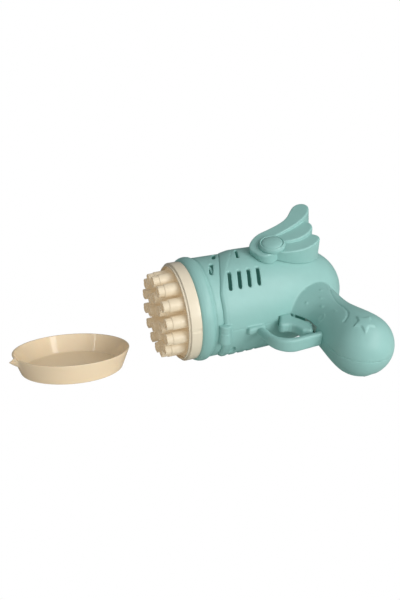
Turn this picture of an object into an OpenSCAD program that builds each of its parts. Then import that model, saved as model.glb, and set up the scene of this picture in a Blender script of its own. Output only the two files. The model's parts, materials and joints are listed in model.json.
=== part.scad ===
// Toy bubble gun lying on its left-hand rest, with the round dish that holds its bubble liquid.
// The origin is the centre of the nozzle's seat on the barrel axis, and the floor is
// rest_height below it. Every gun piece is drawn in the gun's own frame, where X runs back
// along the barrel, Y points to the top of the gun and Z to its left-hand side, and gun_pose()
// lays it down.

/* [Resting pose] */
// Height of the nozzle centre above the floor
rest_height = 44.1; // [44.1:0.5:50]
// Rise of the barrel towards its back, in degrees
barrel_rise = 6; // [4:0.5:7]
// Turn about the barrel that brings the handle down to the floor, in degrees
lie_roll = 16.4; // [12:0.2:18]

/* [Barrel] */
// Radius of the main barrel
barrel_r = 45.2; // [44.6:0.1:46.5]
// Radius of the front collar behind its flange
collar_r = 43; // [42.8:0.1:43.5]
// Radius of the collar's rounded flange
flange_r = 44.9; // [44.4:0.1:46]
// Length of the rounded flange
flange_len = 12; // [11:0.5:13]
// Distance from the nozzle seat to the back of the barrel
barrel_len = 149; // [146:1:153]
// Where the barrel starts to round towards its back
dome_start = 44; // [40:1:50]
// Thickness of the moulded walls
wall = 2.2; // [2:0.1:2.4]
// Distance from the nozzle seat to the seam at the bottom of the gun
seam_x = 17.8; // [17:0.2:19]
// Lean of the seam above its bend, as run for each unit of rise
seam_lean = 0.394; // [0.3:0.01:0.42]

/* [Nozzle] */
// Outer radius of the nozzle ring, which a push-on cap grips
ring_r = 42; // [41.6:0.1:42.2]
// Length of the nozzle ring in front of its seat
ring_len = 10.7; // [10:0.1:12]
// Number of tubes in the outer circle
outer_tubes = 14; // [10:1:15]
// Number of tubes in the inner circle
inner_tubes = 7; // [4:1:8]
// Radius of the outer circle of tubes
outer_pitch_r = 30.8; // [30.4:0.1:31.4]
// Radius of the inner circle of tubes
inner_pitch_r = 16.4; // [15.6:0.1:17.2]
// Turn of the whole set of tubes about the barrel, in degrees
tube_turn = 10; // [0:1:25]
// Outer radius of one tube
tube_r = 5.4; // [4.8:0.1:5.6]
// Distance of the tube tips in front of the seat
tip_reach = 26.9; // [24:0.1:30]

/* [Handle] */
// Place of the handle's centre line on the barrel axis
handle_x = 102.6; // [101:0.2:105]
// Lean of the handle towards the back, in degrees
handle_rake = 3; // [1:0.5:5]
// Distance from the barrel axis to the end of the butt
handle_len = 121; // [119:0.2:123]
// Radius at the narrowest part of the grip
grip_r = 21; // [20.8:0.1:22]
// Radius of the bulging butt
butt_r = 24.8; // [24:0.1:25.6]

/* [Controls] */
// Travel of the trigger, in degrees
trigger_travel = 5.5; // [3:0.5:5.5]
// Width of the trigger across the gun
trigger_w = 9; // [8:0.5:10]
// Width of the trigger guard across the gun, at its lowest
guard_w = 12.4; // [11:0.2:13]

/* [Wing] */
// Outward splay of the wing's faces, in degrees
wing_splay = 10; // [8:0.5:12]
// Rise of the leading feather's face towards the back, in degrees
leading_rise = 14; // [12:0.5:15]
// Rise of the trailing feather's face towards the back, in degrees
trailing_rise = 7.4; // [6:0.2:9]
// Turn of the right-hand wing round the barrel towards the top of the gun, in degrees
right_wing_turn = 32; // [31:1:36]
// Radius of the domed cap at the wing's root
cap_r = 11; // [9:0.1:11.5]

/* [Dish] */
// Radius of the dish's rim
dish_rim_r = 46.9; // [44.1:0.2:50]
// Radius of the dish's base
dish_base_r = 40.6; // [38:0.2:43]
// Height of the dish
dish_h = 16.5; // [14:0.5:20]
// Thickness of the dish
dish_wall = 1.6; // [1.2:0.1:2.2]
// Place of the dish's centre across from the nozzle centre, along X
dish_x = -93.2; // [-130:0.1:-84]
// Place of the dish's centre, along Y
dish_y = 14.3; // [-20:0.1:40]

/* [Hidden] */
$fn = 96;
teal = [0.65, 0.83, 0.80];
cream = [0.90, 0.84, 0.75];
steel = [0.72, 0.73, 0.75];
far = 400;
gap = 0.1;

// Barrel
collar_inner_r = collar_r - wall;
dome_len = barrel_len - dome_start;
dome_fullness = 3.3;
dome_round = 2.25;
seam_bend_y = -33.5;
spigot_len = 3;

// Screws that close the shells: [x, y] on the parting plane
handle_dir = [sin(handle_rake), -cos(handle_rake)];
butt_screw = [handle_x, 0] + 114 * handle_dir;
shell_screw_places = [[28, -38], [57, 36], [136, -4], butt_screw];
boss_r = 3.9;
screw_head_r = 2.6;
screw_head_h = 2;
screw_r = 1.3;
screw_seat_z = -5;
screw_len = 10;

// Trigger: pivot and switch
pivot = [72, -36];
pin_r = 1.5;
pin_clear = 0.06;
pivot_hub_r = 4.5;
plunger_y = -26.5;
plunger_gap = 0.4;
arm_front_x = 70;
guard_root = [-5.2, 1];
guard_root_y = -49.3;

// Fan and motor, along the barrel axis
fan_x = 9;
fan_len = 10;
fan_r = 34;
motor_x = 24.5;
motor_len = 25;
motor_r = 10.2;
motor_flat = 7.7;
shaft_r = 1;

// Batteries, in the handle's frame
battery_r = 7.25;
battery_len = 49.5;
cell_pitch_r = 8.8;
cell_angles = [90, 210, 330];
box_top = 50;
box_end = 107;
box_r = 17.6;
box_wall = 1.6;
door_top = 54;
door_end = 109;
door_half_angle = 48;
door_gap = 0.4;
door_screw_s = 106.2;

// Wing
wing_anchor = [78, -6, 49];
wing_rise = (leading_rise + trailing_rise) / 2;
leading_h = 6.5;
trailing_h = 3.6;
middle_h = (leading_h + trailing_h) / 2;
cap_centre = [-3.6, -5];
cap_seat = 5;

// Wing pegs: place in the wing's frame and height of the lower end
wing_pegs = [[-6, 4, -8], [16, -4, -13]];
peg_r = 3;
wing_screw_r = 1.1;

// Curves
function barrel_outer_r(x) =
    x <= dome_start ? barrel_r
    : barrel_r * pow(max(0, 1 - pow((x - dome_start) / dome_len, dome_fullness)), 1 / dome_round);
function smooth(t) = let (u = min(1, max(0, t))) u * u * (3 - 2 * u);
butt_centre = handle_len - 24;
function handle_outer_r(s) =
    s > butt_centre
    ? butt_r * sqrt(max(0, 1 - pow((s - butt_centre) / (handle_len - butt_centre), 2)))
    : grip_r + (butt_r - grip_r) * smooth((s - 62) / (butt_centre - 62))
      + 2.6 * (1 - smooth((s - 30) / 32));
function bezier(p, n) = [for (i = [0:n - 1]) let (t = i / n, u = 1 - t)
    u * u * u * p[0] + 3 * u * u * t * p[1] + 3 * u * t * t * p[2] + t * t * t * p[3]];
function arc(c, r, from, to, n) = [for (i = [0:n]) let (a = from + (to - from) * i / n)
    c + r * [cos(a), sin(a)]];

// Frames
module gun_pose() { rotate([0, -barrel_rise, 0]) rotate([lie_roll, 0, 0]) children(); }
module along_barrel(x = 0) { translate([x, 0, 0]) rotate([0, 90, 0]) children(); }
module handle_frame() {
    translate([handle_x, 0, 0]) rotate([0, 0, handle_rake]) rotate([90, 0, 0]) children();
}
module wing_frame(rise = wing_rise) {
    translate(wing_anchor) rotate([0, -rise, 0]) rotate([wing_splay, 0, 0]) children();
}
module right_side() { rotate([right_wing_turn, 0, 0]) mirror([0, 0, 1]) children(); }
module pivot_frame() { translate([pivot[0], pivot[1], 0]) children(); }
module left_half() { translate([-far / 2, -far / 2, 0]) cube(far); }
module right_half() { translate([-far / 2, -far / 2, -far]) cube(far); }

// A tube between two radii, along Z
module tube(outer, inner, length) {
    difference() {
        cylinder(r = outer, h = length);
        translate([0, 0, -1]) cylinder(r = inner, h = length + 2);
    }
}

// A slot with round ends, cut along Z
module slot(length, width, depth) {
    translate([0, 0, -depth / 2]) {
        translate([-width / 2, -length / 2 + width / 2, 0]) cube([width, length - width, depth]);
        for (side = [-1, 1])
            translate([0, side * (length - width) / 2, 0]) cylinder(r = width / 2, h = depth);
    }
}

// A round wire along a line of points
module wire_run(points, r) {
    for (i = [0:len(points) - 2]) {
        run = points[i + 1] - points[i];
        length = norm(run);
        translate(points[i])
            rotate([0, acos(run[2] / length), atan2(run[1], run[0])]) cylinder(r = r, h = length);
    }
    if (len(points) > 2)
        for (i = [1:len(points) - 2]) translate(points[i]) sphere(r = r * 1.08);
}

// A coil of round wire that climbs along Z
module coil(coil_r, pitch, turns, wire_r) {
    steps = 20 * turns;
    ring = 8;
    points = [for (i = [0:steps], j = [0:ring - 1])
        let (a = 360 * i / 20, b = 360 * j / ring, r = coil_r + wire_r * cos(b))
        [r * cos(a), r * sin(a), pitch * i / 20 + wire_r * sin(b)]];
    sides = [for (i = [0:steps - 1], j = [0:ring - 1]) let (k = (j + 1) % ring)
        [i * ring + j, (i + 1) * ring + j, (i + 1) * ring + k, i * ring + k]];
    first = [for (j = [ring - 1:-1:0]) j];
    last = [for (j = [0:ring - 1]) steps * ring + j];
    polyhedron(points, concat([first], [for (f = sides) [f[0], f[1], f[2]]],
                              [for (f = sides) [f[0], f[2], f[3]]], [last]));
}

// Barrel, handle and seam as solids
module barrel_solid(inset = 0) {
    stations = 44;
    along_barrel()
        rotate_extrude()
            polygon(concat([[0, 12]], [for (i = [0:stations])
                let (t = i / stations, x = 12 + (barrel_len - inset - 12) * sin(90 * t))
                [i == stations ? 0 : max(0.01, barrel_outer_r(x + inset * smooth((x - 95) / 50))
                    - inset), x]]));
}
module handle_solid(inset = 0) {
    stations = 40;
    top = 32;
    handle_frame()
        rotate_extrude()
            polygon(concat([[0, top]], [for (i = [0:stations])
                let (t = i / stations, s = top + (handle_len - inset - top) * sin(90 * t))
                [i == stations ? 0 : max(0.01, handle_outer_r(s + inset * smooth((s - 90) / 25))
                    - inset), s]]));
}
module behind_seam(offset_x = 0) {
    bend = [seam_x + offset_x, seam_bend_y];
    top = [seam_x + offset_x + seam_lean * (70 - seam_bend_y), 70];
    translate([0, 0, -100])
        linear_extrude(200)
            polygon([[bend[0], -200], [300, -200], [300, 70], top, bend]);
}

// Openings that both shells have
module vents() {
    for (i = [0:3])
        translate([28.9 + 8.45 * i, -26.8, 0]) rotate([0, 0, -18]) slot(13.6, 2.9, 110);
    translate([47.4, 1.2, 0]) rotate([0, 0, -18]) translate([-1.1, -7.5, -55]) cube([2.2, 15, 110]);
}
module trigger_slot() {
    half = trigger_w / 2 + 0.3;
    front = 65.6;
    barrel_rear = 77.6 + 12 * sin(trigger_travel);
    handle_rear = 88.2;
    step_y = -47.5;
    foot_y = -70.5;
    translate([front, step_y, -half]) cube([barrel_rear - front, -36 - step_y, 2 * half]);
    translate([78, foot_y, -half]) cube([handle_rear - 78, step_y - foot_y + 0.01, 2 * half]);
}
module front_lug() {
    translate([37, guard_root_y, guard_root[0]]) cube([15.5, 20, guard_root[1] - guard_root[0]]);
}

// A round boss below the seam, clear of the collar that it reaches over
module lower_boss() {
    difference() {
        translate([18.6, -43.4, -10.5]) cylinder(r = 5.2, h = 17);
        along_barrel(0) cylinder(r = collar_r + 0.05, h = 40);
    }
}

module shell_outer() {
    barrel_solid();
    handle_solid();
    front_lug();
}
module shell_walls() {
    difference() {
        intersection() {
            shell_outer();
            behind_seam();
        }
        barrel_solid(wall);
        handle_solid(wall);
        trigger_slot();
        vents();
    }
}
module bosses(side) {
    intersection() {
        union() {
            for (place = shell_screw_places)
                translate([place[0], place[1], side > 0 ? 0 : -60]) cylinder(r = boss_r, h = 60);
            pivot_frame() translate([0, 0, side > 0 ? 6.8 : -36.8]) cylinder(r = 3.6, h = 30);
        }
        union() {
            barrel_solid(1);
            handle_solid(1);
        }
    }
}
module pin_bore() {
    pivot_frame() translate([0, 0, -11]) cylinder(r = pin_r + 0.02, h = 22);
}
module peg_holes() {
    wing_frame()
        for (peg = wing_pegs) translate([peg[0], peg[1], -30]) cylinder(r = peg_r + 0.1, h = 30);
}

module left_shell() {
    color(teal) gun_pose()
        difference() {
            union() {
                intersection() {
                    union() {
                        shell_walls();
                        lower_boss();
                    }
                    left_half();
                }
                bosses(1);
            }
            for (place = shell_screw_places)
                translate([place[0], place[1], -1]) cylinder(r = screw_r + 0.03, h = 8);
            pin_bore();
            peg_holes();
        }
}
module right_shell() {
    color(teal) gun_pose()
        difference() {
            union() {
                intersection() {
                    union() {
                        shell_walls();
                        lower_boss();
                    }
                    right_half();
                }
                bosses(-1);
            }
            for (place = shell_screw_places)
                translate([place[0], place[1], 0]) {
                    translate([0, 0, screw_seat_z - 1]) cylinder(r = screw_r + 0.1, h = 10);
                    translate([0, 0, screw_seat_z - 60]) cylinder(r = screw_head_r + 0.2, h = 60);
                }
            pin_bore();
            right_side() peg_holes();
            door_region(door_gap);
        }
}

// The patch of grip wall that the battery door closes, grown by clearance
module door_region(clearance = 0) {
    reach = 40;
    half = door_half_angle;
    handle_frame()
        translate([0, 0, door_top - clearance])
            linear_extrude(door_end - door_top + 2 * clearance)
                translate([0, -clearance / sin(half) * -1])
                    polygon([[0, 0], [-reach * sin(half), -reach * cos(half)],
                             [reach * sin(half), -reach * cos(half)]]);
}
module battery_door() {
    tab_w = 5;
    color(teal) gun_pose() {
        difference() {
            intersection() {
                difference() {
                    handle_solid();
                    handle_solid(wall);
                }
                door_region();
            }
            handle_frame() translate([0, 0, door_screw_s]) rotate([90, 0, 0]) {
                cylinder(r = 1.35, h = 40);
                translate([0, 0, handle_outer_r(door_screw_s) - 1.1]) cylinder(r = 2.6, h = 10);
            }
        }
        for (side = [-1, 1])
            handle_frame() translate([side * 4 - tab_w / 2, -handle_outer_r(door_top), 0]) {
                translate([0, 3.5, door_top - 2]) cube([tab_w, 1.2, 6]);
                translate([0, 1.2, door_top + 0.2]) cube([tab_w, 3.5, 3.8]);
            }
    }
}
module battery_door_screw() {
    head_y = handle_outer_r(door_screw_s) - 1.1;
    color(steel) gun_pose() handle_frame() translate([0, 0, door_screw_s]) rotate([90, 0, 0]) {
        difference() {
            translate([0, 0, head_y]) cylinder(r = 2.4, h = 1);
            translate([-0.4, -3, head_y + 0.5]) cube([0.8, 6, 2]);
        }
        translate([0, 0, head_y - 3.1]) cylinder(r = 1.2, h = 3.2);
    }
}

module shell_screws() {
    color(steel) gun_pose()
        for (place = shell_screw_places)
            translate([place[0], place[1], screw_seat_z]) {
                cylinder(r = screw_r, h = screw_len);
                difference() {
                    translate([0, 0, -screw_head_h]) cylinder(r = screw_head_r, h = screw_head_h);
                    for (turn = [0, 90])
                        rotate([0, 0, turn]) translate([-1.6, -0.35, -3]) cube([3.2, 0.7, 2]);
                }
            }
}

// Front collar: flange, slim front, slots and the spigot that the shells close around
module front_collar() {
    bulge = flange_r - 42.4;
    profile = concat([[collar_inner_r, 0]],
        [for (i = [0:16]) let (a = 180 * i / 16)
            [42.4 + bulge * sin(a), flange_len / 2 - flange_len / 2 * cos(a)]],
        [[collar_r, flange_len], [collar_r, 70], [collar_inner_r, 70]]);
    color(teal) gun_pose()
        difference() {
            along_barrel() rotate_extrude() polygon(profile);
            difference() {
                behind_seam(-0.05);
                translate([-40, 0, 0]) along_barrel() cylinder(r = collar_r - 0.1, h = 200);
            }
            behind_seam(spigot_len);
            for (side = [-1, 1]) {
                translate([18.8, -12, side * 40]) rotate([0, 0, -22]) slot(13.4, 3.2, 40);
                translate([29, 7, side * 40]) rotate([0, 0, -26]) slot(13, 3, 40);
            }
        }
}

// Nozzle
module nozzle_ring() {
    lip = 1.5;
    color(cream) gun_pose() {
        along_barrel(-ring_len + lip) tube(ring_r, 39, ring_len - lip);
        along_barrel(-ring_len) tube(40.4, 39, lip + 0.5);
        along_barrel(-0.5) tube(collar_inner_r - gap, 39, 8.5);
    }
}
module tube_places() {
    for (i = [0:outer_tubes - 1])
        rotate([0, 0, 360 * i / outer_tubes + tube_turn]) translate([0, outer_pitch_r, 0]) children();
    for (i = [0:inner_tubes - 1])
        rotate([0, 0, 360 * (i + 0.5) / inner_tubes + tube_turn]) translate([0, inner_pitch_r, 0]) children();
}
module bubble_head() {
    plate_x = -8;
    plate_h = 2;
    notch = 1.1;
    color(cream) gun_pose()
        difference() {
            union() {
                along_barrel(plate_x) cylinder(r = 39 - 0.05, h = plate_h);
                along_barrel(plate_x) tube(39 - 0.05, 37.4, 12);
                along_barrel(-tip_reach) tube_places() cylinder(r = tube_r, h = tip_reach + plate_x + 1);
            }
            along_barrel(-tip_reach - 1) tube_places() {
                cylinder(r = tube_r - 1.2, h = tip_reach);
                for (turn = [0, 90])
                    rotate([0, 0, turn + 45]) translate([-10, -notch / 2, 0]) cube([20, notch, 2.6]);
            }
        }
}

// Fan, its shroud and the motor
module fan() {
    blades = 7;
    hub_r = 8;
    color("white") gun_pose() along_barrel(fan_x)
        difference() {
            union() {
                cylinder(r = hub_r, h = fan_len);
                intersection() {
                    cylinder(r = fan_r, h = fan_len);
                    for (i = [0:blades - 1])
                        rotate([0, 0, 360 * i / blades])
                            translate([0, 0, fan_len / 2]) rotate([38, 0, 0])
                                translate([hub_r - 1, -0.7, -8]) cube([fan_r, 1.4, 16]);
                }
            }
            translate([0, 0, -1]) cylinder(r = shaft_r + 0.02, h = fan_len + 2);
        }
}
module fan_shroud() {
    cup_r = 13;
    duct_r = 38.2;
    color(teal) gun_pose()
        difference() {
            union() {
                along_barrel(8.6) tube(duct_r, 36.2, 13.4);
                along_barrel(18.4) tube(collar_inner_r - gap, duct_r - 0.5, 2);
                along_barrel(21.8) cylinder(r = cup_r, h = 16);
                for (i = [0:2])
                    along_barrel(21.8) rotate([0, 0, 120 * i + 60])
                        translate([0, -2, 0]) cube([37, 4, 2.7]);
            }
            along_barrel(motor_x) cylinder(r = motor_r + 0.05, h = 40);
            along_barrel(20) cylinder(r = 3.2, h = 10);
            motor_screw_places() translate([0, 0, -5]) cylinder(r = 1.05, h = 10);
            along_barrel(0) tube(60, duct_r, 18.4);
        }
}
module motor_screw_places() {
    for (side = [-1, 1]) along_barrel(21.8) translate([0, side * 5.6, 0]) children();
}
module motor_screws() {
    color(steel) gun_pose() motor_screw_places() {
        translate([0, 0, -1.2]) cylinder(r = 1.9, h = 1.2);
        cylinder(r = 1, h = 4);
    }
}
module motor_can() {
    color(steel) gun_pose()
        difference() {
            intersection() {
                along_barrel(motor_x) cylinder(r = motor_r, h = motor_len - 2);
                translate([motor_x - 5, -20, -motor_flat]) cube([60, 40, 2 * motor_flat]);
            }
            along_barrel(motor_x - 1) cylinder(r = shaft_r + 0.05, h = motor_len + 2);
            motor_screw_places() cylinder(r = 1.05, h = 5);
        }
}
module motor_end_bell() {
    color("white") gun_pose()
        difference() {
            union() {
                intersection() {
                    along_barrel(motor_x + motor_len - 2) cylinder(r = motor_r, h = 2.4);
                    translate([motor_x, -20, -motor_flat]) cube([60, 40, 2 * motor_flat]);
                }
                for (side = [-1, 1])
                    translate([motor_x + motor_len, side * 7 - 0.3, -1.2]) cube([4, 0.6, 2.4]);
            }
            along_barrel(motor_x) cylinder(r = shaft_r + 0.05, h = 60);
        }
}
module motor_shaft() {
    length = motor_x + motor_len - fan_x + 2.5;
    color(steel) gun_pose() along_barrel(fan_x - 1) cylinder(r = shaft_r, h = length);
}

// Trigger, its guard, pin, spring and switch
module trigger() {
    half = trigger_w / 2;
    profile = concat(
        [[76.5, -40], [76.9, -46.5], [79.6, -51], [82.6, -56], [84.5, -60], [84.8, -64], [84, -67.2]],
        arc([79.2, -69], 3.4, 10, -150, 8),
        [[73.7, -69], [72.9, -65], [72, -61.5], [70.2, -58.8], [67.8, -57.4]],
        arc([64.4, -54], 2.9, 270, 150, 6),
        [[63.6, -50.4], [66.4, -46], [68, -38]]);
    color(teal) gun_pose()
        difference() {
            union() {
                translate([0, 0, -half]) linear_extrude(trigger_w) polygon(profile);
                pivot_frame() translate([0, 0, -half]) cylinder(r = pivot_hub_r, h = 7);
                translate([arm_front_x, -36, -3]) cube([4.5, 13, 4]);
            }
            pivot_frame() {
                translate([0, 0, -half - 1]) cylinder(r = pin_r + pin_clear, h = 20);
                translate([0, 0, 1]) cylinder(r = 6.2, h = 10);
            }
        }
}
module trigger_pin() {
    color(steel) gun_pose() pivot_frame() translate([0, 0, -10.8]) cylinder(r = pin_r, h = 21.6);
}
module trigger_spring() {
    color(steel) gun_pose() {
        pivot_frame() translate([0, 0, 2]) coil(3.2, 1.15, 3, 0.4);
        wire_run([[pivot[0] + 3.2, pivot[1], 5.45], [pivot[0] + 3.2, pivot[1] + 9, 5.45]], 0.4);
        wire_run([[pivot[0] + 3.2, pivot[1], 2], [pivot[0] + 3.2, pivot[1] + 5, 2]], 0.4);
    }
}
module guard_outline(inset) {
    front = 44.4;
    radius = 18.2;
    rear = [94, -80.7];
    polygon(concat([[front + inset, guard_root_y - 0.05]],
        arc([front + radius, -64], radius - inset, 180, 268, 14),
        [rear + [0, inset], [rear[0], guard_root_y - 0.05]]));
}

// The guard is narrow at its front root and widens towards its lowest part
module guard_taper() {
    low_y = -83;
    half = guard_w / 2;
    rotate([90, 0, 90]) linear_extrude(120)
        polygon([[guard_root_y, guard_root[0]], [low_y, -half], [low_y, half],
                 [guard_root_y, guard_root[1]], [0, guard_root[1]], [0, guard_root[0]]]);
}
module trigger_guard() {
    band = 6;
    color(teal) gun_pose()
        difference() {
            intersection() {
                translate([0, 0, -10]) linear_extrude(20) guard_outline(0);
                guard_taper();
            }
            translate([0, 0.01, -11]) linear_extrude(22) guard_outline(band);
            translate([64, -74.4, -11]) cube([60, 30, 22]);
            handle_solid(-0.05);
        }
}
module switch_body() {
    color([0.15, 0.15, 0.16]) gun_pose()
        difference() {
            translate([54, plunger_y - 5, -4]) cube([11, 10, 8]);
            translate([60, plunger_y, -1]) rotate([0, 90, 0]) cylinder(r = 1.55, h = 10);
        }
}
module switch_plunger() {
    tip = arm_front_x - plunger_gap;
    color("white") gun_pose()
        translate([62.5, plunger_y, -1]) rotate([0, 90, 0]) cylinder(r = 1.5, h = tip - 62.5);
}

// Batteries and their box, in the handle
module cell_places() {
    for (a = cell_angles)
        translate([cell_pitch_r * cos(a), cell_pitch_r * sin(a), 0]) children();
}
module battery_box() {
    color("white") gun_pose() handle_frame()
        difference() {
            union() {
                translate([0, 0, box_top]) cylinder(r = box_r, h = box_end - box_top);
                translate([0, -8, door_screw_s]) rotate([90, 0, 0]) cylinder(r = 2.6, h = 9.5);
            }
            translate([0, 0, box_top + box_wall]) cell_places()
                cylinder(r = battery_r + 0.15, h = box_end - box_top - 2 * box_wall);
            translate([-far / 2, -far - 4.4, box_top + box_wall])
                cube([far, far, box_end - box_top - 2 * box_wall - 2]);
            translate([0, -5, door_screw_s]) rotate([90, 0, 0]) cylinder(r = 1.3, h = 20);
        }
}
module batteries() {
    seat = box_top + box_wall + 0.4;
    color([0.2, 0.45, 0.3]) gun_pose() handle_frame()
        for (i = [0:2]) {
            a = cell_angles[i];
            up = i == 1;
            translate([cell_pitch_r * cos(a), cell_pitch_r * sin(a), up ? seat + 2.4 : seat + 1]) {
                cylinder(r = battery_r, h = battery_len);
                translate([0, 0, up ? battery_len - 0.1 : -0.9]) cylinder(r = 2.75, h = 1);
            }
        }
}
module battery_springs() {
    seat = box_top + box_wall + 0.4;
    low = seat + battery_len + 1;
    color(steel) gun_pose() handle_frame()
        for (i = [0:2]) {
            a = cell_angles[i];
            up = i == 1;
            translate([cell_pitch_r * cos(a), cell_pitch_r * sin(a), up ? seat + 0.35 : low + 0.35])
                coil(3.4, 0.65, 2, 0.3);
        }
}
module battery_contacts() {
    plate = 0.4;
    color(steel) gun_pose() handle_frame()
        intersection() {
            union() {
                translate([0, 0, box_top + box_wall])
                    cell_places() cylinder(r = 5.2, h = plate);
                translate([0, 0, box_end - box_wall - plate])
                    cell_places() cylinder(r = 5.2, h = plate);
            }
            translate([-far / 2, -4.4, 0]) cube([far, far, far]);
        }
}

// Wires from the battery box past the switch to the motor
module red_wire() {
    color("red") gun_pose()
        wire_run([[98, -49, 6], [94, -38, 7], [84, -20, 7], [66, -12, 3], [53.6, -8.6, 0]], 0.8);
}
module black_wire() {
    color([0.1, 0.1, 0.1]) gun_pose()
        wire_run([[102, -49, 4], [99, -34, 4], [84, 2, 6], [66, 10, 4], [53.6, 8.6, 0]], 0.8);
}

// Wing
module leading_feather() {
    polygon(concat(
        bezier([[-21, 2], [-20, 7], [-12, 15.5], [-2, 16.4]], 10),
        bezier([[-2, 16.4], [8, 17], [19, 18], [25.5, 22]], 8),
        bezier([[25.5, 22], [31.5, 25], [37, 33.5], [43, 34.5]], 8),
        bezier([[43, 34.5], [50, 36], [54.5, 29], [50, 22.5]], 8),
        bezier([[50, 22.5], [43, 11], [24, 7], [5.3, 5]], 12),
        bezier([[5.3, 5], [1.5, -2], [1.5, -7], [-1.5, -11]], 6),
        bezier([[-1.5, -11], [-8, -17], [-18, -17], [-20, -6]], 10),
        bezier([[-20, -6], [-20.7, -3], [-21.3, 0], [-21, 2]], 4)));
}
module middle_feather() {
    polygon(concat(
        bezier([[1, 9], [17, 15.5], [29.5, 18], [36.5, 15]], 10),
        bezier([[36.5, 15], [42, 13], [43.5, 6.5], [39.3, 1]], 8),
        bezier([[39.3, 1], [31, -6], [18, -10], [4.7, -2]], 10)));
}
module trailing_feather() {
    polygon(concat(
        bezier([[-6.5, 3.5], [8, 7.6], [23, 5.4], [31.6, 1.4]], 10),
        bezier([[31.6, 1.4], [41, -3], [42, -8.5], [38, -12]], 8),
        bezier([[38, -12], [28, -20], [12, -22], [-3, -12.5]], 10)));
}
module feather(rise, top, bottom) {
    wing_frame(rise) translate([0, 0, bottom]) linear_extrude(top - bottom) children();
}
module left_wing_piece() {
    difference() {
        union() {
            difference() {
                union() {
                    feather(leading_rise, leading_h, -11) leading_feather();
                    feather(wing_rise, middle_h, -14) middle_feather();
                    feather(trailing_rise, trailing_h, -22) trailing_feather();
                }
                barrel_solid(-0.06);
                wing_frame() translate([cap_centre[0], cap_centre[1], cap_seat])
                    cylinder(r = cap_r + 0.1, h = 20);
            }
            wing_frame()
                for (peg = wing_pegs) translate([peg[0], peg[1], peg[2]]) cylinder(r = peg_r, h = -peg[2]);
        }
        wing_frame()
            for (peg = wing_pegs)
                translate([peg[0], peg[1], peg[2] - 1]) cylinder(r = wing_screw_r + 0.05, h = 9);
    }
}
module left_wing() { color(teal) gun_pose() left_wing_piece(); }
module right_wing() { color(teal) gun_pose() right_side() left_wing_piece(); }
module wing_cap_piece() {
    crown = 2.6;
    side = 3.4;
    ball_r = (cap_r * cap_r + crown * crown) / (2 * crown);
    wing_frame() translate([cap_centre[0], cap_centre[1], cap_seat])
        intersection() {
            translate([0, 0, crown + side - ball_r]) sphere(r = ball_r);
            cylinder(r = cap_r, h = 20);
        }
}
module left_wing_cap() { color(teal) gun_pose() wing_cap_piece(); }
module right_wing_cap() { color(teal) gun_pose() right_side() wing_cap_piece(); }
module wing_screws() {
    color(steel) gun_pose()
        {
            wing_screw_pair();
            right_side() wing_screw_pair();
        }
}
module wing_screw_pair() {
    head_h = 1.2;
    wing_frame()
        for (peg = wing_pegs)
            translate([peg[0], peg[1], peg[2] - head_h - 0.05]) {
                cylinder(r = 3.6, h = head_h);
                cylinder(r = wing_screw_r, h = 8);
            }
}

// Dish
module dish_solid(rim_r, base_r, bottom, top) {
    rotate_extrude() polygon([[0, bottom], [base_r, bottom], [rim_r, top], [0, top]]);
}
module dish() {
    spout = 200;
    color(cream) translate([dish_x, dish_y, -rest_height])
        difference() {
            union() {
                dish_solid(dish_rim_r, dish_base_r, 0, dish_h);
                intersection() {
                    rotate([0, 0, spout]) translate([dish_rim_r - 3, 0, dish_h - 9])
                        rotate([0, 0, -45]) cube([6, 6, 9]);
                    cylinder(r1 = dish_rim_r - 6, r2 = dish_rim_r + 3.4, h = dish_h);
                }
            }
            dish_solid(dish_rim_r - dish_wall, dish_base_r - dish_wall, dish_wall, dish_h + 0.01);
            translate([0, 0, dish_h - 5]) rotate([0, 0, spout]) translate([dish_rim_r - 5, 0, 0])
                rotate([0, 0, -45]) cube([5.4, 5.4, 9]);
        }
}

nozzle_ring();
bubble_head();
front_collar();
left_shell();
right_shell();
left_wing();
right_wing();
left_wing_cap();
right_wing_cap();
wing_screws();
shell_screws();
trigger_guard();
trigger();
trigger_pin();
trigger_spring();
switch_body();
switch_plunger();
fan();
fan_shroud();
motor_can();
motor_end_bell();
motor_shaft();
motor_screws();
battery_box();
batteries();
battery_springs();
battery_contacts();
battery_door();
battery_door_screw();
red_wire();
black_wire();
dish();
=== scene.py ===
import json
import math

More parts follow.
